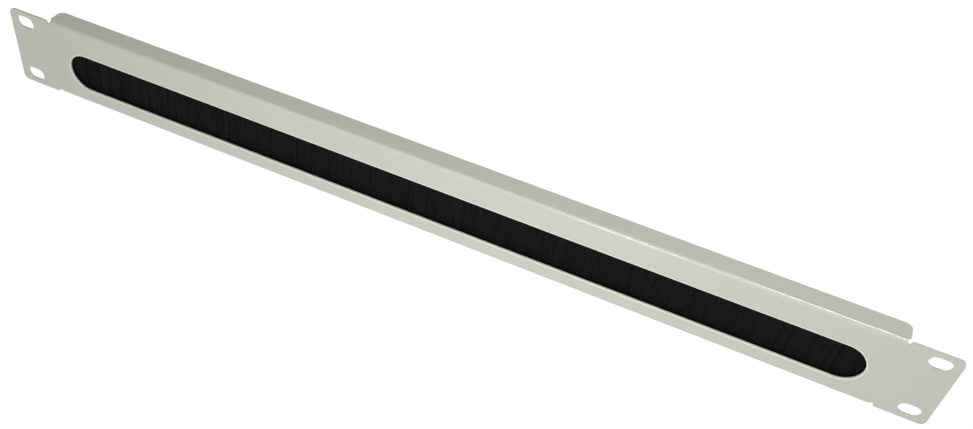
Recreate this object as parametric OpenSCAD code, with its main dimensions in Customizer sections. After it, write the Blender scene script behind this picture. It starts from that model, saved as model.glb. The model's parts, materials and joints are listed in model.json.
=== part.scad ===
// 19-inch rack panel, one unit high, with a strip brush behind a long cable opening.
// The face is one folded sheet. The brush hangs in an extruded holder that is nutted to weld
// studs on the rear of the face, so that nothing shows in front.
//
// Frame: origin at the centre of the four rack slots, on the rear of the sheet (the side that
// lies on the rack's posts). +X to the right seen from the front, +Z up, the front faces -Y.

/* [Face panel] */
// Width over both ears
panel_w = 482.6; // [478:0.1:486]
// Height of the panel, one rack unit less its clearance
panel_h = 43.65; // [42:0.05:45]
// Sheet thickness
sheet_t = 1.2; // [1:0.1:1.6]
// Inside radius of both folds
fold_r = 0.6; // [0.3:0.1:1]
// Depth of the folded flanges, from the front of the face
flange_d = 11; // [9.5:0.1:14]
// Distance from the end of an ear to the end of the flanges
ear_l = 23.3; // [22.5:0.1:26]
// Radius of the flanges' rear corners
flange_corner_r = 3; // [1:0.5:4]
// Radius of the ears' outer corners
ear_corner_r = 3; // [1:0.5:5]
// Radius of the ears' inner corners, beside the relief notches
ear_inner_r = 1.2; // [0.5:0.1:2]
// Width of the relief notch at each end of a flange
relief_w = 1.6; // [1.4:0.1:4]
// How far the relief notch bites into the end of the flange
relief_bite = 1.2; // [0.4:0.1:1.5]
// How far the relief notch reaches to the rear, past the inside of the fold
relief_past = 1.2; // [0.4:0.1:2]

/* [Rack slots] */
// Distance from the end of an ear to the centres of its slots
slot_edge = 8.75; // [8:0.05:9.5]
// Distance between the slots' centres up the rack
slot_pitch_z = 31.75; // [31.5:0.05:32]
// Length of a slot
slot_l = 10; // [8:0.1:12]
// Width of a slot
slot_w = 6.7; // [5.5:0.1:7.2]

/* [Cable opening] */
// Distance from each end of the opening to the end of the flanges
opening_inset = 10; // [8:0.1:60]
// Height of the face below the opening
band_below = 8.35; // [7:0.05:12]

/* [Brush holder] */
// Length of the holder past each end of the opening
holder_over = 4.5; // [3:0.5:6]
// Wall of the extruded holder
holder_t = 1.1; // [0.8:0.1:1.3]
// Height of the pocket that takes the brush channel, outside
pocket_h = 5.6; // [5:0.1:6]
// How far the lips reach in under the brush channel
lip_in = 0.45; // [0.3:0.05:0.6]
// Height of the lips
lip_h = 0.6; // [0.4:0.1:0.8]
// Gap between the pocket's mouth and the top of the opening
mouth_gap = 0.4; // [0.2:0.1:1]
// Height of the web left above a washer
web_edge = 0.2; // [0.2:0.1:1]
// Gap between the web and the fold above it, which sets how high the brush and opening lie
web_gap = 0.1; // [0.1:0.1:4]
// Gap between the brush channel and the pocket's walls
slide_gap = 0.05; // [0.02:0.01:0.1]

/* [Strip brush] */
// Width of the brush channel, front to back
channel_w = 3.2; // [3:0.1:4]
// Sheet thickness of the brush channel
channel_t = 0.5; // [0.4:0.05:0.6]
// How far each leg of the channel is crimped inwards at its mouth
channel_crimp = 0.3; // [0.1:0.05:0.4]
// Diameter of the core wire that the filaments are folded over
wire_d = 1.2; // [0.8:0.1:1.4]
// Length of the strip, measured short of each end of the holder
strip_inset = 0.5; // [0:0.1:2]
// How far the curtain's solid reaches up between the legs of the channel
curtain_lap = 0.5; // [0.2:0.1:0.8]
// How much the curtain is drawn in all round from the folded filaments that it leaves
curtain_ease = 0.05; // [0.02:0.01:0.1]
// How far the filament tips reach below the opening
tip_below = 3.9; // [2:0.1:5]
// How uneven the tips are
tip_uneven = 0.5; // [0:0.1:1]
// Thickness of the curtain at its tips
curtain_t = 2.9; // [2.2:0.1:3.2]
// Distance between the tufts along the strip
tuft_pitch = 1.6; // [1.4:0.1:4]
// Depth of the hollow between two tufts
tuft_hollow = 0.35; // [0.1:0.05:0.5]
// How far the curtain sways out of its plane at the tips
sway_most = 0.12; // [0:0.02:0.2]

/* [Fixings] */
// Thread diameter of the weld studs
stud_d = 3; // [2.5:0.5:3]
// Length of a stud from the rear of the sheet
stud_l = 6; // [5.5:0.5:8]
// Diameter of a stud's weld flange
stud_flange_d = 4.2; // [3.8:0.1:4.6]
// Thickness of a stud's weld flange
stud_flange_t = 0.7; // [0.5:0.1:0.8]
// Distance between two studs, before they are spread evenly over the holder
stud_pitch = 100; // [60:5:140]
// Distance from the end of the holder to the first stud
stud_inset = 12; // [8:1:20]
// Gap around the weld flange in the holder's hole
stud_hole_gap = 0.2; // [0.1:0.05:0.4]
// Gap around the thread in a washer or nut
thread_gap = 0.08; // [0.05:0.01:0.15]
// Outside diameter of a washer
washer_d = 6; // [5.5:0.1:6.2]
// Thickness of a washer
washer_t = 0.5; // [0.4:0.1:0.8]
// Width of a nut across its flats
nut_af = 5.5; // [5:0.1:5.6]
// Height of a nut
nut_h = 2.4; // [1.8:0.1:2.6]
// Gap between a washer and the step of the pocket below it
washer_gap = 0.2; // [0.1:0.05:0.4]

/* [Hidden] */
$fn = 64;

front_y = -sheet_t;
fold_out_r = fold_r + sheet_t;
fold_z = panel_h / 2 - fold_out_r;
flange_l = panel_w - 2 * ear_l;
relief_x = flange_l / 2 - relief_bite;
ear_x = relief_x + relief_w;
relief_y = fold_r + relief_past;
cut_past = 1;

slot_pitch_x = panel_w - 2 * slot_edge;

fixing_h = mouth_gap + pocket_h + washer_gap + washer_d + web_edge + web_gap;
opening_l = flange_l - 2 * opening_inset;
opening_top = fold_z - fixing_h;
opening_bottom = -panel_h / 2 + band_below;
opening_h = opening_top - opening_bottom;
opening_z = (opening_top + opening_bottom) / 2;

holder_l = opening_l + 2 * holder_over;
pocket_z0 = opening_top + mouth_gap;
pocket_z1 = pocket_z0 + pocket_h;
pocket_in = channel_w + 2 * slide_gap;
holder_d = pocket_in + 2 * holder_t;
holder_edge_r = 0.5;

strip_l = holder_l - 2 * strip_inset;
strip_y = holder_t + pocket_in / 2;
mouth_z = pocket_z0 + lip_h;
channel_z1 = pocket_z1 - holder_t - slide_gap;
root_half = channel_w / 2 - channel_t;
mouth_half = root_half - channel_crimp;
root_z = channel_z1 - channel_t;
wire_z = root_z - root_half;
tip_z = opening_bottom - tip_below;

stud_z = pocket_z1 + washer_gap + washer_d / 2;
web_z1 = stud_z + washer_d / 2 + web_edge;
stud_span = holder_l - 2 * stud_inset;
stud_gaps = round(stud_span / stud_pitch);
washer_y = holder_t;
nut_y = washer_y + washer_t;

curtain_l = strip_l - 2 * curtain_ease;
curtain_mouth_half = mouth_half - curtain_ease;
tuft_count = round(curtain_l / tuft_pitch);
tuft_step = curtain_l / tuft_count;
tip_turn = 67;
sway_turn = 23;
quick_turn = 2.7;
quick_start = 40;
quick_share = 0.4;

// ---------- shared shapes ----------

// Flat outline with round ends, centred, lying along X
module slot_outline(length, width) {
    square([length - width, width], center = true);
    for (side = [-1, 1])
        translate([side * (length - width) / 2, 0]) circle(d = width);
}

// What a radius takes off the corner at the origin of the first quadrant
module corner_waste(r) {
    difference() {
        translate([-cut_past, -cut_past]) square(r + cut_past);
        translate([r, r]) circle(r);
    }
}

// A flat outline in X and Z, given a thickness from y0 towards the rear
module upright(y0, thickness) {
    translate([0, y0 + thickness, 0]) rotate([90, 0, 0]) linear_extrude(thickness) children();
}

// A section in Y and Z, drawn out along X about the middle of the panel
module along_panel(length) {
    translate([-length / 2, 0, 0]) rotate([90, 0, 90]) linear_extrude(length) children();
}

// Children at every stud, with their own Z axis pointing to the rear
module at_studs(y0) {
    for (i = [0 : stud_gaps])
        translate([stud_span * (i / stud_gaps - 0.5), y0, stud_z]) rotate([-90, 0, 0]) children();
}

// ---------- face panel ----------

// One ear at the right-hand end, with its four corners rounded
module ear_outline() {
    x1 = panel_w / 2;
    z1 = panel_h / 2;
    difference() {
        translate([ear_x, -z1]) square([x1 - ear_x, panel_h]);
        for (up = [0, 1]) mirror([0, up]) {
            translate([x1, -z1]) mirror([1, 0]) corner_waste(ear_corner_r);
            translate([ear_x, -z1]) corner_waste(ear_inner_r);
        }
    }
}

module face_outline() {
    difference() {
        union() {
            square([2 * (ear_x + ear_inner_r), 2 * fold_z], center = true);
            ear_outline();
            mirror([1, 0]) ear_outline();
        }
        translate([0, opening_z]) slot_outline(opening_l, opening_h);
        for (sx = [-1, 1], sz = [-1, 1])
            translate([sx * slot_pitch_x / 2, sz * slot_pitch_z / 2]) slot_outline(slot_l, slot_w);
    }
}

// Section through the top fold and flange: a quarter ring, then a straight leg
module flange_section() {
    translate([front_y + fold_out_r, fold_z]) {
        difference() {
            intersection() {
                circle(fold_out_r);
                translate([-2 * fold_out_r, 0]) square(2 * fold_out_r);
            }
            circle(fold_r);
        }
        translate([0, fold_r]) square([flange_d - fold_out_r, sheet_t]);
    }
}

// Waste at the right-hand end of a flange: its round rear corner and the relief at its root
module flange_end_waste() {
    translate([flange_l / 2, front_y + flange_d])
        mirror([1, 0]) mirror([0, 1]) corner_waste(flange_corner_r);
    difference() {
        translate([relief_x, front_y - cut_past])
            square([relief_w, relief_y - front_y + cut_past]);
        translate([relief_x, relief_y])
            mirror([0, 1]) corner_waste(relief_bite / 2);
    }
}

module flange() {
    difference() {
        along_panel(flange_l) flange_section();
        for (side = [0, 1]) mirror([side, 0, 0])
            translate([0, 0, fold_z]) linear_extrude(2 * fold_out_r) flange_end_waste();
    }
}

module face_panel() {
    color("#c9cbbf") {
        upright(front_y, sheet_t) face_outline();
        flange();
        mirror([0, 0, 1]) flange();
    }
}

// ---------- brush holder ----------

// Section of the h-shaped extrusion: web against the sheet, pocket with two lips below
module holder_section() {
    inner_y0 = holder_t;
    inner_y1 = holder_d - holder_t;
    difference() {
        union() {
            translate([0, pocket_z0]) square([holder_t, web_z1 - pocket_z0]);
            translate([0, pocket_z0]) square([holder_d, pocket_h]);
        }
        translate([inner_y0, mouth_z]) square([pocket_in, pocket_h - lip_h - holder_t]);
        translate([inner_y0 + lip_in, pocket_z0 - cut_past])
            square([pocket_in - 2 * lip_in, pocket_h - holder_t]);
        translate([holder_d, pocket_z0]) mirror([1, 0]) corner_waste(holder_edge_r);
        translate([holder_d, pocket_z1]) mirror([1, 0]) mirror([0, 1]) corner_waste(holder_edge_r);
        translate([holder_t, web_z1]) mirror([1, 0]) mirror([0, 1]) corner_waste(holder_edge_r);
    }
}

module brush_holder() {
    color("#b9bcbf") difference() {
        along_panel(holder_l) holder_section();
        at_studs(-cut_past)
            cylinder(d = stud_flange_d + 2 * stud_hole_gap, h = holder_t + 2 * cut_past);
    }
}

// ---------- strip brush ----------

// Bar along the strip, round on top about the core wire, with flat legs down to leg_z
module fold_bar(half, leg_half, leg_z, length) {
    along_panel(length) translate([strip_y, wire_z]) intersection() {
        circle(half);
        translate([-2 * half, 0]) square([4 * half, 2 * half]);
    }
    along_panel(length) translate([strip_y, 0])
        polygon([[-half, wire_z], [half, wire_z], [leg_half, leg_z], [-leg_half, leg_z]]);
}

// Steel strip folded over the filaments, its legs crimped in towards the mouth
module brush_channel() {
    lean = channel_crimp / (wire_z - mouth_z);
    color("#9a9d9f") difference() {
        fold_bar(channel_w / 2, mouth_half + channel_t, mouth_z, strip_l);
        fold_bar(root_half, mouth_half - lean * cut_past, mouth_z - cut_past,
            strip_l + 2 * cut_past);
    }
}

module core_wire() {
    color("#8b8e90") along_panel(strip_l) translate([strip_y, wire_z]) circle(d = wire_d);
}

// Wander of the tufts along the strip, from -1 to 1: a slow wave with a quicker one on it
function wander(i, turn) =
    (1 - quick_share) * sin(i * turn) + quick_share * sin(i * turn * quick_turn + quick_start);

// Half the curtain's thickness at cut i, at a share s of the way from the mouth to the tips.
// Even cuts run down the middle of a tuft and odd ones down the hollow between two.
function curtain_half(i, s) =
    curtain_mouth_half + (curtain_t / 2 - curtain_mouth_half) * s - (i % 2) * tuft_hollow * s;

function cut_x(i) = -curtain_l / 2 + tuft_step * i / 2;

function cut_tip(i) = tip_z + tip_uneven * (wander(i, tip_turn) + (i % 2));

// Point of cut i at a share s of the way from the mouth to the tips, on the rear (side 1) or
// the front (side -1). A share below 0 lies above the mouth, between the channel's legs.
function cut_point(i, s, side) = [
    cut_x(i),
    strip_y + side * curtain_half(i, s) + s * sway_most * wander(i, sway_turn),
    mouth_z + s * (cut_tip(i) - mouth_z)
];

// Cross-section of the curtain at cut i, from the rear of its top down to the tips and up to
// the front of its top
function cut_points(i) = let (top = curtain_lap / (cut_tip(i) - mouth_z)) concat(
    [for (s = [top, 0.5, 1]) cut_point(i, s, 1)],
    [for (s = [1, 0.5, top]) cut_point(i, s, -1)]
);

// Fluted curtain of filaments from within the channel's mouth down: one cut at each tuft and
// each hollow
module curtain() {
    last = 2 * tuft_count;
    cut_n = 6;
    function at(i, j) = i * cut_n + j % cut_n;
    // Two triangles between neighbouring cuts, mirrored on the two sides of a tuft
    side_faces = [
        for (i = [0 : last - 1], j = [0 : cut_n - 1])
            let (a = at(i, j), b = at(i, j + 1), c = at(i + 1, j + 1), d = at(i + 1, j))
                each i % 2 == 0 ? [[a, b, c], [a, c, d]] : [[a, b, d], [b, c, d]]
    ];
    end_faces = [
        [at(0, 0), at(0, 5), at(0, 4), at(0, 1)],
        [at(0, 1), at(0, 4), at(0, 3), at(0, 2)],
        [at(last, 0), at(last, 1), at(last, 4), at(last, 5)],
        [at(last, 1), at(last, 2), at(last, 3), at(last, 4)]
    ];
    polyhedron([for (i = [0 : last], p = cut_points(i)) p], concat(side_faces, end_faces));
}

// The filaments are folded in two over the core wire and crimped in the channel
module bristles() {
    color("#1b1b1b") {
        difference() {
            fold_bar(root_half, mouth_half, mouth_z, strip_l);
            along_panel(strip_l + 2 * cut_past) translate([strip_y, wire_z]) circle(d = wire_d);
        }
        curtain();
    }
}

// ---------- fixings ----------

module weld_studs() {
    tip_bevel = 0.4;
    color("#a9745a") at_studs(0) rotate_extrude() polygon([
        [0, 0], [stud_flange_d / 2, 0], [stud_flange_d / 2, stud_flange_t],
        [stud_d / 2, stud_flange_t], [stud_d / 2, stud_l - tip_bevel],
        [stud_d / 2 - tip_bevel, stud_l], [0, stud_l]
    ]);
}

module washers() {
    color("#c4c6c8") at_studs(washer_y) difference() {
        cylinder(d = washer_d, h = washer_t);
        translate([0, 0, -cut_past])
            cylinder(d = stud_d + 2 * thread_gap, h = washer_t + 2 * cut_past);
    }
}

// Hexagon nut with both faces bevelled at 30 degrees
module hex_nut() {
    across_corners = nut_af / cos(30);
    bevel_h = (across_corners - nut_af) / 2 * tan(30);
    difference() {
        intersection() {
            cylinder(d = across_corners, h = nut_h, $fn = 6);
            rotate_extrude() polygon([
                [0, 0], [nut_af / 2, 0], [across_corners / 2, bevel_h],
                [across_corners / 2, nut_h - bevel_h], [nut_af / 2, nut_h], [0, nut_h]
            ]);
        }
        translate([0, 0, -cut_past])
            cylinder(d = stud_d + 2 * thread_gap, h = nut_h + 2 * cut_past);
    }
}

module hex_nuts() {
    color("#c4c6c8") at_studs(nut_y) hex_nut();
}

face_panel();
brush_holder();
brush_channel();
core_wire();
bristles();
weld_studs();
washers();
hex_nuts();
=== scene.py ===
# %% [markdown]
# # A brush strip panel for a 19-inch rack
# One folded sheet of steel, powder coated light grey, with a long opening that cables pass
# through. A strip brush hangs behind the opening: black filaments folded over a wire and crimped
# in a steel channel, which slides into an aluminium holder nutted to studs on the sheet.
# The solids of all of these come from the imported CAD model. This lesson dresses them.

# %% Load the solids
import json
import math

import bmesh
import bpy
from mathutils import Matrix, Vector


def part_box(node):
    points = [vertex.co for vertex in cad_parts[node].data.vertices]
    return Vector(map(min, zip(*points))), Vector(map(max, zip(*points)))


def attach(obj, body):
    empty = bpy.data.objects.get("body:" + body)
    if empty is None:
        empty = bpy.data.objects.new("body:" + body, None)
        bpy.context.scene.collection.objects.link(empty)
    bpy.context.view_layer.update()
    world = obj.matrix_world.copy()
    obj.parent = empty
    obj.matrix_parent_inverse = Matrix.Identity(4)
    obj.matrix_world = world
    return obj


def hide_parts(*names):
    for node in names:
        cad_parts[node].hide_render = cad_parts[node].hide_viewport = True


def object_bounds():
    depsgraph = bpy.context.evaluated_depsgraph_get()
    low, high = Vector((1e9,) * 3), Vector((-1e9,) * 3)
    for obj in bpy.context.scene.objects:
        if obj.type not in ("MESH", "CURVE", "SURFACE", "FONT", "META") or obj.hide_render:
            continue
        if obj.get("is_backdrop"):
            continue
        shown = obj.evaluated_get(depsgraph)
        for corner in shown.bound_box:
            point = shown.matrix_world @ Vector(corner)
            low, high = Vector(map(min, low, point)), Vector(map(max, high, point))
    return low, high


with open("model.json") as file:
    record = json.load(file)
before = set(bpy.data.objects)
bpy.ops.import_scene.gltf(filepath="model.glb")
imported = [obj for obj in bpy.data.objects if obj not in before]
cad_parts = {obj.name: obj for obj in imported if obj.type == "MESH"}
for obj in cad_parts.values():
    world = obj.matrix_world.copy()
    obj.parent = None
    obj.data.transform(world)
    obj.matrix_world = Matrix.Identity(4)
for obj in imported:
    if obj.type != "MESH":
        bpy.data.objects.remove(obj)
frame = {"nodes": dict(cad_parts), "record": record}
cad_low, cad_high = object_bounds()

MM = 0.001
# Corners closer than this are one corner
WELD = 0.001 * MM
nodes = frame["nodes"]
print("CAD nodes:", ", ".join(sorted(nodes)))

# %% [markdown]
# ## Helpers
# Colours are written as the hex values that a paint card or a screen gives. Blender's shaders
# work with linear light, so one function turns hex to linear. Materials and geometry are both made
# of node trees, so a second function adds a node of any kind, sets it and links it.

# %% Colour and node helpers
def linear(hex_value):
    """A colour written as #rrggbb, as the linear RGBA that shaders use."""
    shares = [int(hex_value[i : i + 2], 16) / 255 for i in (1, 3, 5)]
    light = [c / 12.92 if c <= 0.04045 else ((c + 0.055) / 1.055) ** 2.4 for c in shares]
    return (*light, 1.0)


def add_node(tree, kind, inputs=None, **settings):
    """A node of that kind. An input's value is either linked, if it is a socket, or set."""
    node = tree.nodes.new(kind)
    for name, value in settings.items():
        setattr(node, name, value)
    for name, value in (inputs or {}).items():
        if isinstance(value, bpy.types.NodeSocket):
            tree.links.new(value, node.inputs[name])
        else:
            node.inputs[name].default_value = value
    return node


def new_material(name):
    """An empty material with its output node, and its tree."""
    material = bpy.data.materials.new(name)
    material.use_nodes = True
    tree = material.node_tree
    tree.nodes.clear()
    return material, tree


def two_tones(tree, noise, dark, pale):
    """The colour that runs from dark to pale over the middle of a noise texture's values."""
    tone = add_node(tree, "ShaderNodeValToRGB", {"Fac": noise.outputs["Fac"]})
    for element, place, colour in zip(tone.color_ramp.elements, (0.3, 0.7), (dark, pale)):
        element.position = place
        element.color = linear(colour)
    return tone.outputs["Color"]


print("the grey #808080 is", round(linear("#808080")[0], 3), "of white in linear light")

# %% [markdown]
# ## Camera
# The panel is seen from the front right, from above, with the camera tilted a little so that the
# panel runs down across the frame. A place, a point to look at and a roll are all it takes.

# %% Camera
def aim(thing, place, target, roll=0.0):
    """Puts a camera or lamp at a place, looking at a target, turned by roll about its own axis."""
    place, target = Vector(place), Vector(target)
    turn = (target - place).to_track_quat("-Z", "Y").to_matrix().to_4x4()
    thing.matrix_world = Matrix.Translation(place) @ turn @ Matrix.Rotation(roll, 4, "Z")


scene = bpy.context.scene
camera = bpy.data.objects.new("camera", bpy.data.cameras.new("camera"))
scene.collection.objects.link(camera)
camera.data.sensor_width = 36
camera.data.lens = 36.48
aim(camera, (0.1228, -0.3272, 0.3146), (0.0277, -0.0012, 0.0043), math.radians(9.6))
scene.camera = camera
print("camera is", round((camera.location - (cad_low + cad_high) / 2).length, 3), "m away")

# %% [markdown]
# ## Floor and light
# The studio has a white table: the floor shows as white, and keeps a faint shadow where the
# panel stands. About half of the light is even and comes from all sides. Softboxes in front and
# overhead give the sheet its slow change from end to end. A satin coat also mirrors its lamps, as
# a thin bright line along the fold. Lamps that only make highlights set that line's place and
# strength, so that it can be tuned while the tone of the flat faces stays.

# %% Floor
floor_z = cad_low.z
floor_mesh = bpy.data.meshes.new("floor")
# Far enough out to have no edge in any view
REACH = 40.0
corners = [(-REACH, -REACH), (REACH, -REACH), (REACH, REACH), (-REACH, REACH)]
floor_mesh.from_pydata([(x, y, floor_z) for x, y in corners], [], [(0, 1, 2, 3)])
floor = bpy.data.objects.new("floor", floor_mesh)
scene.collection.objects.link(floor)
# The panel's lower face lies on the floor and would get no light at all. Hidden from diffuse rays,
# the floor still shows the shadow, and lets the world's even light reach that face
floor.visible_diffuse = False
floor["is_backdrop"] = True


def any_ray(tree, path, *kinds):
    """1 where the ray is of one of those kinds, and 0 elsewhere."""
    seen = path.outputs[kinds[0]]
    for kind in kinds[1:]:
        inputs = {0: seen, 1: path.outputs[kind]}
        seen = add_node(tree, "ShaderNodeMath", inputs, operation="MAXIMUM").outputs[0]
    return seen


material, tree = new_material("white table")
path = add_node(tree, "ShaderNodeLightPath")
side = add_node(tree, "ShaderNodeNewGeometry")
seen = any_ray(tree, path, "Is Camera Ray", "Is Glossy Ray", "Is Transmission Ray")
lit = add_node(tree, "ShaderNodeBsdfDiffuse", {"Color": linear("#e8e8e8")})
# What is seen glows nearly white, and a little grey under the lamps makes up the rest of it
shaded = add_node(tree, "ShaderNodeBsdfDiffuse", {"Color": linear("#616161")})
glow = add_node(tree, "ShaderNodeEmission", {"Strength": 0.95})
shown = add_node(tree, "ShaderNodeAddShader", {0: shaded.outputs[0], 1: glow.outputs[0]})
table = add_node(
    tree, "ShaderNodeMixShader", {0: seen, 1: lit.outputs[0], 2: shown.outputs[0]}
)
# From below the floor is clear, so that the panel's underside can be looked at
clear = add_node(tree, "ShaderNodeBsdfTransparent")
one_sided = add_node(
    tree,
    "ShaderNodeMixShader",
    {0: side.outputs["Backfacing"], 1: table.outputs[0], 2: clear.outputs[0]},
)
add_node(tree, "ShaderNodeOutputMaterial", {"Surface": one_sided.outputs[0]})
floor_mesh.materials.append(material)
print("floor at z", round(floor_z / MM, 2), "mm")

# %% World and lamps
world = bpy.data.worlds.new("studio")
scene.world = world
world.use_nodes = True
tree = world.node_tree
tree.nodes.clear()
path = add_node(tree, "ShaderNodeLightPath")
seen = any_ray(tree, path, "Is Camera Ray", "Is Transmission Ray")
white = linear("#ffffff")
ambient = add_node(tree, "ShaderNodeBackground", {"Color": white, "Strength": 0.39})
backdrop = add_node(tree, "ShaderNodeBackground", {"Color": white, "Strength": 1.0})
both = add_node(
    tree, "ShaderNodeMixShader", {0: seen, 1: ambient.outputs[0], 2: backdrop.outputs[0]}
)
add_node(tree, "ShaderNodeOutputWorld", {"Surface": both.outputs[0]})


def softbox(name, size, power, place, target, diffuse=True, gloss=True):
    """An area lamp of that width and height in metres and power in watts, hidden from view.

    Without diffuse it only makes highlights, and without gloss it isn't reflected."""
    lamp = bpy.data.lights.new(name, "AREA")
    lamp.shape = "RECTANGLE"
    lamp.size, lamp.size_y = size
    lamp.energy = power
    thing = bpy.data.objects.new(name, lamp)
    thing.visible_camera = False
    thing.visible_diffuse = diffuse
    thing.visible_glossy = gloss
    scene.collection.objects.link(thing)
    aim(thing, place, target)


# The flat light: one from in front, one on the face's right half, one on the right of the fold
softbox("key softbox", (0.16, 0.16), 0.98, (0.06, -0.40, 0.125), (0.0, 0, 0), gloss=False)
FRONT = (0.036, -0.81, 0.59)
softbox("front softbox", (0.19, 0.06), 0.40, FRONT, (0.097, 0, 0.02), gloss=False)
OVERHEAD = (0.226, -0.078, 0.378)
softbox("overhead softbox", (0.15, 0.04), 0.36, OVERHEAD, (0.178, 0, 0.02), gloss=False)
# The highlights on the fold: the middle of it mirrors the front strip, and its right the other
softbox("front strip", (0.19, 0.05), 2.6, FRONT, (0.097, 0, 0.02), diffuse=False)
OVERHEAD_RIGHT = (0.24, -0.078, 0.378)
softbox("overhead strip", (0.17, 0.03), 0.65, OVERHEAD_RIGHT, (0.19, 0, 0.02), diffuse=False)
softbox("rear fill", (0.5, 0.3), 3.0, (0.0, 0.9, 0.12), (0, 0, 0), gloss=False)
print("lamps:", ", ".join(f"{lamp.name} {lamp.energy:.2f} W" for lamp in bpy.data.lights))

# %% [markdown]
# ## Powder coat
# The sheet is sprayed with dry polyester powder and baked. The melt leaves a satin coat some
# 0.08 mm thick with a fine orange peel: shallow dimples about a millimetre across.

# %% Powder coat material
def powder_coat(name, dark, pale):
    """Satin polyester with orange peel. The two tones are where the coat is thinner and thicker."""
    material, tree = new_material(name)
    place = add_node(tree, "ShaderNodeTexCoord").outputs["Object"]
    # Dimples about 1.2 mm across, so 0.83 of them to a millimetre
    peel = add_node(
        tree,
        "ShaderNodeTexNoise",
        {"Vector": place, "Scale": 0.83 / MM, "Detail": 1.0, "Roughness": 0.4},
    ).outputs["Fac"]
    bump = add_node(
        tree, "ShaderNodeBump", {"Height": peel, "Strength": 0.12, "Distance": 0.04 * MM}
    )
    # Drifts of the spray gun's passes, some 30 mm apart
    drift = add_node(
        tree,
        "ShaderNodeTexNoise",
        {"Vector": place, "Scale": 0.033 / MM, "Detail": 6.0, "Roughness": 0.7},
    ).outputs["Fac"]
    tone = add_node(
        tree,
        "ShaderNodeMix",
        {"Factor": drift, "A": linear(dark), "B": linear(pale)},
        data_type="RGBA",
    )
    gloss = add_node(tree, "ShaderNodeMapRange", {"Value": peel, "To Min": 0.12, "To Max": 0.17})
    coat = add_node(
        tree,
        "ShaderNodeBsdfPrincipled",
        {
            "Base Color": tone.outputs["Result"], "Roughness": gloss.outputs["Result"],
            "Normal": bump.outputs["Normal"], "IOR": 1.5,
        },
    )
    add_node(tree, "ShaderNodeOutputMaterial", {"Surface": coat.outputs[0]})
    return material


# %% [markdown]
# ## The folded sheet
# The sheet is punched flat and folded, so its edges are sharp until powder is sprayed and baked
# on. The coat draws back from an edge and leaves it rounded, and such an edge is what catches the
# light. The CAD solid has the true shape, so the piece is a copy of it. Its loose triangles are
# merged and joined to whole faces, and the sharp edges are bevelled. A Weighted Normal modifier
# then shades each big flat face as flat, and the fold as one smooth arc between two of them.
#
# Round the opening a band of about half a millimetre to each side of the edge is coloured paler:
# a painted highlight for the bright line that the rim catches. A bevel that keeps the edge square
# lays that band as narrow faces with a finish of their own, and the edge is rounded after that.

# %% Copies of CAD nodes with rounded edges
# Corners from this angle up are edges, and less is the step from facet to facet of an arc
SHARP = math.radians(35)
COPLANAR = math.radians(0.5)
EDGE_R = 0.12 * MM


def merged_copy(node):
    """A CAD node's mesh with its corners welded and its flat triangles joined, as a bmesh."""
    work = bmesh.new()
    work.from_mesh(nodes[node].data)
    bmesh.ops.remove_doubles(work, verts=work.verts, dist=WELD)
    bmesh.ops.dissolve_limit(work, angle_limit=COPLANAR, verts=work.verts, edges=work.edges)
    return work


def sharp_edges(work):
    return [edge for edge in work.edges if edge.is_manifold and edge.calc_face_angle() > SHARP]


def bevel(work, edges, width, profile):
    """Puts two faces along each edge. A profile of 0.5 is round, and one of 1 keeps the corner."""
    return bmesh.ops.bevel(
        work,
        geom=edges,
        offset=width,
        segments=2,
        profile=profile,
        affect="EDGES",
        clamp_overlap=False,
    )["faces"]


def shaded_piece(name, work, finishes):
    """A new object from a bmesh, shaded smooth where it curves and flat where it is flat."""
    for face in work.faces:
        face.smooth = True
    mesh = bpy.data.meshes.new(name)
    work.to_mesh(mesh)
    work.free()
    for finish in finishes:
        mesh.materials.append(finish)
    piece = bpy.data.objects.new(name, mesh)
    scene.collection.objects.link(piece)
    shade = piece.modifiers.new("shade", "WEIGHTED_NORMAL")
    shade.weight = 100
    return piece


# %% Folded sheet
PAINTED_RIM_HIGHLIGHT = 0.6 * MM
# How much of Y a face's normal has: a rounded edge is between the opening's walls and the face
STEEP = 0.2
FLAT = 0.99
# The second coat is paler, a painted highlight for the opening's rim
coats = [
    powder_coat("polyester powder coat, light grey", "#c9cbbe", "#d2d4c7"),
    powder_coat("polyester powder coat, painted highlight on the rim", "#e9ebe0", "#f1f3e8"),
]
front_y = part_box("face_panel")[0].y
stated = {room["name"]: room["box_m"] for room in frame["record"]["physics"]["openings"]}
opening_low, opening_high = stated["cable_opening"]
# The stated opening ends short of the round ends, by less than half its height
reach_x = opening_high[0] + (opening_high[2] - opening_low[2]) * 0.6


def in_opening(place):
    """Whether a place is inside the opening, or within a millimetre of its upper or lower edge."""
    return abs(place.x) < reach_x and opening_low[2] - MM < place.z < opening_high[2] + MM


def on_front_rim(edge):
    return all(abs(v.co.y - front_y) < EDGE_R / 2 and in_opening(v.co) for v in edge.verts)


work = merged_copy("face_panel")
rim = [edge for edge in sharp_edges(work) if on_front_rim(edge)]
# The band along the opening's front rim takes the paler coat, a painted highlight
for face in bevel(work, rim, PAINTED_RIM_HIGHLIGHT, 1.0):
    face.material_index = 1
bevel(work, sharp_edges(work), EDGE_R, 0.5)
# The opening's rounded edge takes the paler coat too, as part of the painted highlight
for face in work.faces:
    if in_opening(face.calc_center_median()) and STEEP < abs(face.normal.y) < FLAT:
        face.material_index = 1
sheet = shaded_piece("folded_sheet", work, coats)
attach(sheet, "root")
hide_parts("face_panel")
print("folded sheet:", len(sheet.data.polygons), "faces")

# %% [markdown]
# ## Metals
# Every metal piece sits behind the sheet. Each metal has its own making in it: extrusion and
# drawing leave lines along the strip, rolling and plating leave a mottle. One function makes them
# all: a noise, drawn out by a scale for each axis, sets tone, roughness and a shallow bump.

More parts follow.
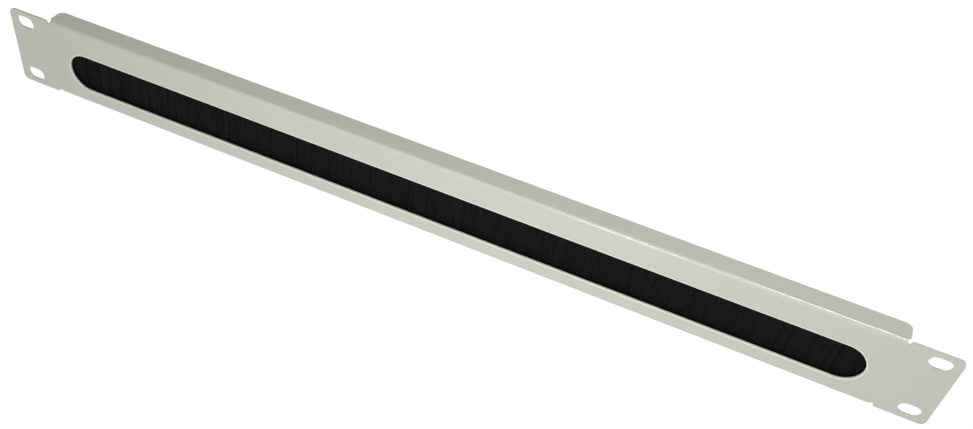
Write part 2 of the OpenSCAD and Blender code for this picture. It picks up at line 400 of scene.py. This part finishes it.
# %% Metal materials
def worked_metal(name, dark, pale, scale, roughness, grain):
    """A bare metal whose tone and roughness follow a noise, drawn out by its scale per axis."""
    material, tree = new_material(name)
    place = add_node(tree, "ShaderNodeTexCoord").outputs["Object"]
    stretch = add_node(tree, "ShaderNodeMapping", {"Vector": place, "Scale": scale})
    noise = add_node(
        tree, "ShaderNodeTexNoise", {"Vector": stretch.outputs[0], "Scale": 1.0, "Detail": 4.0}
    )
    height = noise.outputs["Fac"]
    gloss = add_node(
        tree,
        "ShaderNodeMapRange",
        {"Value": height, "To Min": roughness[0], "To Max": roughness[1]},
    )
    bump = add_node(
        tree, "ShaderNodeBump", {"Height": height, "Strength": grain, "Distance": 0.02 * MM}
    )
    metal = add_node(
        tree,
        "ShaderNodeBsdfPrincipled",
        {
            "Base Color": two_tones(tree, noise, dark, pale), "Metallic": 1.0,
            "Roughness": gloss.outputs["Result"], "Normal": bump.outputs["Normal"],
        },
    )
    add_node(tree, "ShaderNodeOutputMaterial", {"Surface": metal.outputs[0]})
    return material


def grains(x, y, z):
    """The scale of a noise with that many grains to a millimetre along each axis."""
    return (x / MM, y / MM, z / MM)


metals = {
    # Lines of the die, a third of a millimetre apart, that run along the strip
    "brush_holder": worked_metal(
        "extruded aluminium, mill finish",
        "#bfc1c3", "#d3d5d6", grains(0.01, 3, 3), (0.35, 0.5), 0.5,
    ),
    # The mottle of a zinc bath, 3 mm across
    "brush_channel": worked_metal(
        "rolled strip steel, galvanised",
        "#9fa3a5", "#c0c3c4", grains(0.3, 0.3, 0.3), (0.35, 0.55), 0.3,
    ),
    # Fine lines of the die along the wire
    "core_wire": worked_metal(
        "drawn steel wire",
        "#8b8e90", "#a9acae", grains(0.02, 6, 6), (0.3, 0.45), 0.5,
    ),
    # A reddish flash of copper, with a grain of a millimetre
    "weld_studs": worked_metal(
        "rolled steel thread, copper flashed",
        "#a3694c", "#c08a6a", grains(1, 1, 1), (0.3, 0.45), 0.3,
    ),
    # Bright zinc over the stamped surface, with a finer grain than the bath gives
    "washers": worked_metal(
        "stamped steel, zinc plated",
        "#b9bdc0", "#d3d6d9", grains(1.5, 1.5, 1.5), (0.25, 0.4), 0.3,
    ),
}
metals["hex_nuts"] = metals["washers"]
print("metals:", "; ".join(sorted({metal.name for metal in metals.values()})))

# %% [markdown]
# ## Metal pieces
# The extruded holder is sawn to length, and the washers are stamped, so their edges are nearly
# sharp. A bevel of a twelfth of a millimetre is enough to give each one its bright line. The nuts
# and the core wire come straight from the CAD solid: the nuts are bevelled there already, and the
# wire is round.

# %% Holder, channel and washers with their edges rounded
WORN_R = 0.08 * MM
slots = {
    "brush_holder": "mill_aluminium",
    "brush_channel": "galvanised_steel",
    "washers": "zinc_plated_steel",
}
for name, slot in slots.items():
    work = merged_copy(name)
    bevel(work, sharp_edges(work), WORN_R, 0.5)
    piece = shaded_piece(name + "_dressed", work, [metals[name]])
    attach(piece, "root")
    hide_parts(name)
    print(piece.name, len(piece.data.polygons), "faces")

# %% Wire and nuts as they come from the CAD model
for name in ("core_wire", "hex_nuts"):
    nodes[name].data.materials.clear()
    nodes[name].data.materials.append(metals[name])
    print(name, "keeps its solid, in", metals[name].name)

# %% [markdown]
# ## Growing a piece with Geometry Nodes
# What repeats by a rule is grown by a geometry node tree: its inputs are the sizes, and the same
# tree can be run again with other sizes. The tree runs as a modifier on an empty mesh. Its result
# is kept as a plain mesh, because an export drops modifiers and instances.

# %% Running a tree
def input_socket(tree, label, kind, value=None):
    """A named input of a geometry tree."""
    socket = tree.interface.new_socket(label, in_out="INPUT", socket_type="NodeSocket" + kind)
    if value is not None:
        socket.default_value = value


def new_tree(name, floats, ints):
    """A geometry tree with number inputs, a material input and a geometry output."""
    tree = bpy.data.node_groups.new(name, "GeometryNodeTree")
    input_socket(tree, "Geometry", "Geometry")
    for label, value in floats.items():
        input_socket(tree, label, "Float", value)
    for label, value in ints.items():
        input_socket(tree, label, "Int", value)
    input_socket(tree, "Material", "Material")
    tree.interface.new_socket("Geometry", in_out="OUTPUT", socket_type="NodeSocketGeometry")
    return tree, add_node(tree, "NodeGroupInput").outputs


def math_in(tree):
    """A short way to write sums in that tree: it returns a function that adds a Math node."""
    def number(operation, a, b=0.0, c=0.0):
        return add_node(tree, "ShaderNodeMath", {0: a, 1: b, 2: c}, operation=operation).outputs[0]

    return number


def finish_tree(tree, solid, given):
    """Ends a tree as every tree here ends: no instances left, and a material set."""
    solid = add_node(tree, "GeometryNodeRealizeInstances", {"Geometry": solid}).outputs[0]
    solid = add_node(
        tree, "GeometryNodeSetMaterial", {"Geometry": solid, "Material": given["Material"]}
    ).outputs[0]
    add_node(tree, "NodeGroupOutput", {"Geometry": solid})
    return tree


def grown(name, tree, values):
    """Runs a geometry tree with those inputs and keeps its result as a plain mesh piece."""
    seed = bpy.data.objects.new(name + "_seed", bpy.data.meshes.new(name + "_seed"))
    scene.collection.objects.link(seed)
    modifier = seed.modifiers.new("grow", "NODES")
    modifier.node_group = tree
    for item in tree.interface.items_tree:
        if item.item_type == "SOCKET" and item.in_out == "INPUT" and item.name in values:
            modifier[item.identifier] = values[item.name]
    evaluated = seed.evaluated_get(bpy.context.evaluated_depsgraph_get())
    mesh = bpy.data.meshes.new_from_object(evaluated)
    bpy.data.objects.remove(seed)
    mesh.name = name
    piece = bpy.data.objects.new(name, mesh)
    scene.collection.objects.link(piece)
    return piece


# %% [markdown]
# ## Threaded studs
# Each stud is an M3 thread with a small weld flange, fused to the back of the sheet. A thread is
# a rule: the radius at any place depends only on how far along and how far round it is. So a flat
# grid is rolled into a tube, and its radius follows the thread's ridges: half a millimetre from
# crest to crest, with flats on the crests and in the roots. The row at each end shrinks to a point
# to close it, and the studs are copies of one, set along the strip.

# %% A stud's radius
def stud_radius(tree, given, along, around):
    """The radius at a place so far along a stud from its foot, and so much of a turn round it."""
    number = math_in(tree)
    # 0 at a root of the thread and 1 at a crest, with an eighth of the pitch flat on each. The
    # slope between them is stretched by 4/3 about its middle, and what goes past is cut off
    turns = number("DIVIDE", along, given["Thread pitch"])
    phase = number("FRACT", number("SUBTRACT", turns, around))
    slope = number("MULTIPLY", number("ABSOLUTE", number("SUBTRACT", phase, 0.5)), 2.0)
    stretched = number("MULTIPLY_ADD", slope, 1.33, -0.167)
    crest = add_node(tree, "ShaderNodeClamp", {"Value": stretched}).outputs[0]
    # An ISO thread is 0.6134 of its pitch deep
    depth = number("MULTIPLY", given["Thread pitch"], 0.6134)
    half = number("MULTIPLY", given["Thread diameter"], 0.5)
    radius = number("MULTIPLY_ADD", number("SUBTRACT", crest, 1.0), depth, half)
    from_tip = number("SUBTRACT", given["Length"], along)
    bevelled = number("SUBTRACT", number("ADD", half, from_tip), given["Tip bevel"])
    radius = number("MINIMUM", radius, bevelled)
    in_flange = number("LESS_THAN", along, given["Flange thickness"])
    flange = number("MULTIPLY", given["Flange diameter"], number("MULTIPLY", in_flange, 0.5))
    in_thread = number("SUBTRACT", 1.0, in_flange)
    return number("MULTIPLY_ADD", radius, in_thread, flange)


# %% Stud tree
def stud_tree():
    """Studs in a row, each a threaded rod with a bevelled tip on a round weld flange."""
    tree, given = new_tree(
        "threaded stud",
        {
            "Thread diameter": 0.003, "Thread pitch": 0.0005, "Length": 0.006, "Tip bevel": 0.0004,
            "Flange diameter": 0.0042, "Flange thickness": 0.0007,
            "First x": -0.2, "Spacing": 0.1, "Foot y": 0.0, "Height z": 0.0167,
        },
        {"Studs": 5, "Sides": 28, "Rows": 85},
    )
    number = math_in(tree)
    # A grid over one turn and the stud's length, with a row over at each end to close it. It is
    # rolled with X turning to -Z, which puts its upper side outside and the thread right-handed
    step = number("DIVIDE", given["Length"], number("SUBTRACT", given["Rows"], 3.0))
    tall = number("MULTIPLY_ADD", step, 2.0, given["Length"])
    grid = add_node(
        tree,
        "GeometryNodeMeshGrid",
        {"Size X": 1.0, "Size Y": tall, "Vertices X": given["Sides"], "Vertices Y": given["Rows"]},
    ).outputs["Mesh"]
    at = add_node(tree, "GeometryNodeInputPosition").outputs[0]
    at = add_node(tree, "ShaderNodeSeparateXYZ", {0: at}).outputs
    past_foot = number("MULTIPLY_ADD", given["Length"], 0.5, at["Y"])
    along = number("MINIMUM", number("MAXIMUM", past_foot, 0.0), given["Length"])
    radius = stud_radius(tree, given, along, at["X"])
    # The two rows over lie past the ends, and shrink to a point there
    beyond = number("ABSOLUTE", number("SUBTRACT", past_foot, along))
    open_row = number("LESS_THAN", beyond, number("MULTIPLY", step, 0.5))
    radius = number("MULTIPLY", radius, open_row)
    turn = number("MULTIPLY", at["X"], math.tau)
    place = add_node(
        tree,
        "ShaderNodeCombineXYZ",
        {
            "X": number("MULTIPLY", number("COSINE", turn), radius),
            "Y": along,
            "Z": number("MULTIPLY", number("SINE", turn), number("MULTIPLY", radius, -1.0)),
        },
    ).outputs[0]
    stud = add_node(
        tree, "GeometryNodeSetPosition", {"Geometry": grid, "Position": place}
    ).outputs[0]
    stud = add_node(
        tree, "GeometryNodeMergeByDistance", {"Geometry": stud, "Distance": WELD}
    ).outputs[0]
    first = add_node(
        tree,
        "ShaderNodeCombineXYZ",
        {"X": given["First x"], "Y": given["Foot y"], "Z": given["Height z"]},
    )
    apart = add_node(tree, "ShaderNodeCombineXYZ", {"X": given["Spacing"]})
    row = add_node(
        tree,
        "GeometryNodeMeshLine",
        {"Count": given["Studs"], "Start Location": first.outputs[0], "Offset": apart.outputs[0]},
    ).outputs[0]
    studs = add_node(
        tree, "GeometryNodeInstanceOnPoints", {"Points": row, "Instance": stud}
    ).outputs[0]
    return finish_tree(tree, studs, given)


# %% Threaded studs
low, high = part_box("weld_studs")
flange_d = high.z - low.z
# Each stud starts where the gap to the corners before it is wider than a stud
xs = sorted(v.co.x for v in nodes["weld_studs"].data.vertices)
starts = [xs[0]] + [b for a, b in zip(xs, xs[1:]) if b - a > flange_d]
studs = grown(
    "threaded_studs",
    stud_tree(),
    {
        "Length": high.y - low.y, "Flange diameter": flange_d, "First x": starts[0] + flange_d / 2,
        "Spacing": starts[1] - starts[0], "Foot y": low.y, "Height z": (low.z + high.z) / 2,
        "Studs": len(starts), "Material": metals["weld_studs"],
    },
)
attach(studs, "root")
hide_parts("weld_studs")
print(len(starts), "studs,", len(studs.data.polygons), "faces")

# %% [markdown]
# ## Filaments
# The brush is nylon filament 0.2 mm thick, folded over the core wire like a hairpin, so that both
# legs hang from the channel. They leave it pinched together, fan out a little, and neighbours
# gather into loose tufts. Tens of thousands would be too heavy a mesh, so each one here is drawn
# 0.36 mm thick, and fewer of them close the curtain. One tree grows a layer of them, and it runs
# twice, for the legs in front of the wire and for those behind it.

# %% Filament material
def filament_nylon():
    """Extruded nylon: matt, with a little drift of tone down each filament."""
    material, tree = new_material("extruded nylon filament, black")
    place = add_node(tree, "ShaderNodeTexCoord").outputs["Object"]
    # Tone changes from one filament to the next, a millimetre or so, and slowly down its length
    stretch = add_node(
        tree, "ShaderNodeMapping", {"Vector": place, "Scale": (1 / MM, 1 / MM, 0.05 / MM)}
    )
    streaks = add_node(
        tree, "ShaderNodeTexNoise", {"Vector": stretch.outputs[0], "Scale": 1.0, "Detail": 2.0}
    )
    tone = two_tones(tree, streaks, "#121212", "#1c1c1b")
    nylon = add_node(
        tree,
        "ShaderNodeBsdfPrincipled",
        {"Base Color": tone, "Roughness": 0.6, "IOR": 1.53, "Specular IOR Level": 0.08},
    )
    add_node(tree, "ShaderNodeOutputMaterial", {"Surface": nylon.outputs[0]})
    return material


# %% Rows of roots
def rooted_points(tree, given):
    """One point for each filament, in rows behind each other. Returns them with their own values.

    Each of these is stored on its point, because a filament keeps it along its whole length."""
    number = math_in(tree)

    def chance(key):
        """A random number from -1 to 1 for each filament, and another one for each key."""
        seed = number("ADD", given["Seed"], key)
        node = add_node(tree, "FunctionNodeRandomValue", {"Seed": seed}, data_type="FLOAT")
        # Its inputs of different kinds share their names, so the float ones go by their index
        node.inputs[2].default_value, node.inputs[3].default_value = -1.0, 1.0
        return node.outputs[1]

    count = number("DIVIDE", given["Length along strip"], given["Pitch"])
    grid = add_node(
        tree,
        "GeometryNodeMeshGrid",
        {
            "Size X": given["Length along strip"], "Size Y": given["Depth at mouth"],
            "Vertices X": count, "Vertices Y": given["Rows"],
        },
    ).outputs["Mesh"]
    points = add_node(tree, "GeometryNodeMeshToPoints", {"Mesh": grid}).outputs[0]
    jitter_x = number("MULTIPLY", chance(1), given["Jitter along"])
    jitter_y = number("MULTIPLY", chance(2), given["Jitter across"])
    jitter = add_node(tree, "ShaderNodeCombineXYZ", {"X": jitter_x, "Y": jitter_y}).outputs[0]
    points = add_node(
        tree, "GeometryNodeSetPosition", {"Geometry": points, "Offset": jitter}
    ).outputs[0]
    root = add_node(tree, "GeometryNodeInputPosition").outputs[0]
    own = {"root": root, "lean": chance(3), "splay": chance(4), "trim": chance(5)}
    kept = {}
    for label, value in own.items():
        kind = "FLOAT_VECTOR" if label == "root" else "FLOAT"
        points = add_node(
            tree,
            "GeometryNodeStoreNamedAttribute",
            {"Geometry": points, "Name": label, "Value": value},
            data_type=kind,
            domain="POINT",
        ).outputs[0]
        kept[label] = add_node(
            tree, "GeometryNodeInputNamedAttribute", {"Name": label}, data_type=kind
        ).outputs[0]
    return points, kept


# %% Where a filament runs
def filament_path(tree, given, own):
    """Where a point of a filament goes: it fans out from the mouth, gathers, leans and splays."""
    number = math_in(tree)
    # How far down its filament a point is, from 0 to 1, and the same with a bow to it
    share = add_node(tree, "GeometryNodeSplineParameter").outputs["Factor"]
    bow = number("MULTIPLY", share, share)
    at = add_node(tree, "ShaderNodeSeparateXYZ", {0: own["root"]}).outputs
    # Neighbours gather where this wave along the strip rises and falls
    wave = add_node(
        tree,
        "ShaderNodeTexNoise",
        {
            "W": number("MULTIPLY", at["X"], given["Gathers per metre"]),
            "Scale": 1.0, "Detail": 2.5, "Roughness": 0.6,
        },
        noise_dimensions="1D",
    ).outputs[0]
    pull = number("MULTIPLY", number("SUBTRACT", wave, 0.5), given["Gather"])
    sideways = number("MULTIPLY_ADD", own["lean"], given["Lean"], pull)
    x = number("MULTIPLY_ADD", bow, sideways, at["X"])
    fan = number("DIVIDE", given["Depth at tips"], given["Depth at mouth"])
    spread = number("MULTIPLY_ADD", number("SUBTRACT", fan, 1.0), share, 1.0)
    y = number("MULTIPLY_ADD", at["Y"], spread, given["Middle y"])
    y = number("MULTIPLY_ADD", number("MULTIPLY", own["splay"], bow), given["Splay"], y)
    half_trim = number("MULTIPLY", given["Uneven trim"], 0.5)
    cut_short = number("MULTIPLY_ADD", own["trim"], half_trim, half_trim)
    tip = number("ADD", given["Tip z"], cut_short)
    z = number("MULTIPLY_ADD", number("SUBTRACT", tip, given["Mouth z"]), share, given["Mouth z"])
    return add_node(tree, "ShaderNodeCombineXYZ", {"X": x, "Y": y, "Z": z}).outputs[0]


# %% Filament tree
def filament_tree():
    """A curtain of filaments in rows, each a hairpin's leg that hangs from the mouth."""
    tree, given = new_tree(
        "filament curtain",
        {
            "Length along strip": 0.42, "Pitch": 0.0003, "Filament radius": 0.00018,
            "Depth at mouth": 0.0006, "Depth at tips": 0.0012,
            "Middle y": 0.0027, "Mouth z": 0.009, "Tip z": -0.0175, "Uneven trim": 0.001,
            "Jitter along": 0.00015, "Jitter across": 0.0001, "Lean": 0.00022, "Splay": 0.00012,
            "Gather": 0.0016, "Gathers per metre": 240.0,
        },
        {"Rows": 4, "Points": 4, "Seed": 1},
    )
    points, own = rooted_points(tree, given)
    line = add_node(
        tree, "GeometryNodeCurvePrimitiveLine", {"Start": (0, 0, 0), "End": (0, 0, -1)}
    ).outputs[0]
    line = add_node(
        tree, "GeometryNodeResampleCurve", {"Curve": line, "Count": given["Points"]}
    ).outputs[0]
    strands = add_node(
        tree, "GeometryNodeInstanceOnPoints", {"Points": points, "Instance": line}
    ).outputs[0]
    strands = add_node(tree, "GeometryNodeRealizeInstances", {"Geometry": strands}).outputs[0]
    path = filament_path(tree, given, own)
    strands = add_node(
        tree, "GeometryNodeSetPosition", {"Geometry": strands, "Position": path}
    ).outputs[0]
    # A profile of four corners keeps the mesh light
    ring = add_node(
        tree,
        "GeometryNodeCurvePrimitiveCircle",
        {"Resolution": 4, "Radius": given["Filament radius"]},
    ).outputs[0]
    solid = add_node(
        tree,
        "GeometryNodeCurveToMesh",
        {"Curve": strands, "Profile Curve": ring, "Fill Caps": True},
    ).outputs[0]
    return finish_tree(tree, solid, given)


# %% Front and rear filaments
low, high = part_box("bristles")
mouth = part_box("brush_channel")[0].z
# How far the filaments are tucked into the channel, and how far the two layers' middles are
# from the middle of the curtain
TUCKED = 0.5 * MM
LAYER = 0.7 * MM
END_GAP = 0.5 * MM
curtain = filament_tree()
nylon = filament_nylon()
layers = {"filaments_front": (-LAYER, 11), "filaments_rear": (LAYER, 42)}
for name, (away, seed) in layers.items():
    piece = grown(
        name,
        curtain,
        {
            "Length along strip": high.x - low.x - 2 * END_GAP, "Pitch": 0.29 * MM,
            "Depth at mouth": 0.6 * MM, "Depth at tips": 1.2 * MM,
            "Middle y": (low.y + high.y) / 2 + away, "Mouth z": mouth + TUCKED,
            "Tip z": low.z + 0.4 * MM, "Uneven trim": 1.0 * MM,
            "Seed": seed, "Material": nylon,
        },
    )
    # What the tree kept on its points has done its work
    for label in ("root", "lean", "splay", "trim"):
        piece.data.attributes.remove(piece.data.attributes[label])
    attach(piece, "root")
    print(name, len(piece.data.polygons), "faces")
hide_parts("bristles")

# %% [markdown]
# ## Colour handling and size
# The Standard view shows a colour about as it is written, with no film look laid over it. The
# box of the dressed part is measured and printed; the solids' box was measured when they were
# loaded. The dressed part has to stay as large as the solids.

# %% Colour handling and sizes
scene.view_settings.view_transform = "Standard"
bpy.context.view_layer.update()
low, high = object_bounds()
print("visual box", [round(v / MM, 2) for v in low], [round(v / MM, 2) for v in high])
